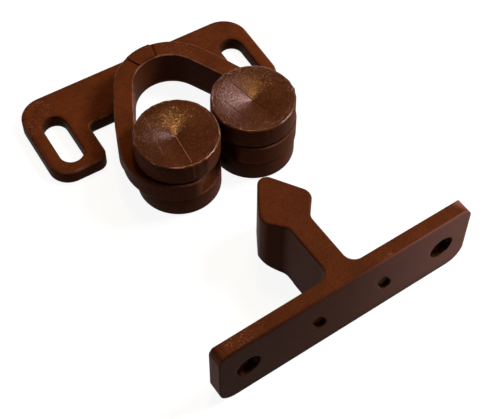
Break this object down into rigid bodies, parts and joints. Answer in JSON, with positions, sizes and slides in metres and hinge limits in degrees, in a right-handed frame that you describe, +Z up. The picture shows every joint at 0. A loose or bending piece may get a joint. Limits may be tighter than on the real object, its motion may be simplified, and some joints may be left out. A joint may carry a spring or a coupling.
{
  "type": "double roller catch",
  "caption": "Brown plastic cupboard catch: a slotted base with a sprung loop that holds two rollers, and a loose T-shaped strike with a pointed tongue.",
  "frame": {"origin": "on the base plate's underside, midway between its two slots", "axes": "+X along the base plate, +Y away from the strike, +Z up from the mounting face and along the rollers' axes"},
  "size_m": [0.0492, 0.065, 0.0132],
  "materials": {
    "body_plastic": "brown moulded plastic, satin",
    "roller_plastic": "brown moulded plastic, fine turned grain on the ends",
    "strike_plastic": "brown moulded plastic, satin"
  },
  "bodies": {
    "catch": {"catch_body": "body_plastic"},
    "left_spool": {"left_roller": "roller_plastic"},
    "right_spool": {"right_roller": "roller_plastic"},
    "striker": {"strike": "strike_plastic"}
  },
  "joints": [
    {"name": "left_roller_spin", "type": "hinge", "parent": "catch", "child": "left_spool", "pos_m": [-0.004, -0.016, 0.0065], "axis": [0, 0, 1], "continuous": true},
    {"name": "right_roller_spin", "type": "hinge", "parent": "catch", "child": "right_spool", "pos_m": [0.0102, -0.016, 0.0065], "axis": [0, 0, 1], "continuous": true},
    {"name": "strike_slide", "type": "slide", "parent": "catch", "child": "striker", "axis": [0, 1, 0], "range_m": [-0.015, 0.011]}
  ]
}
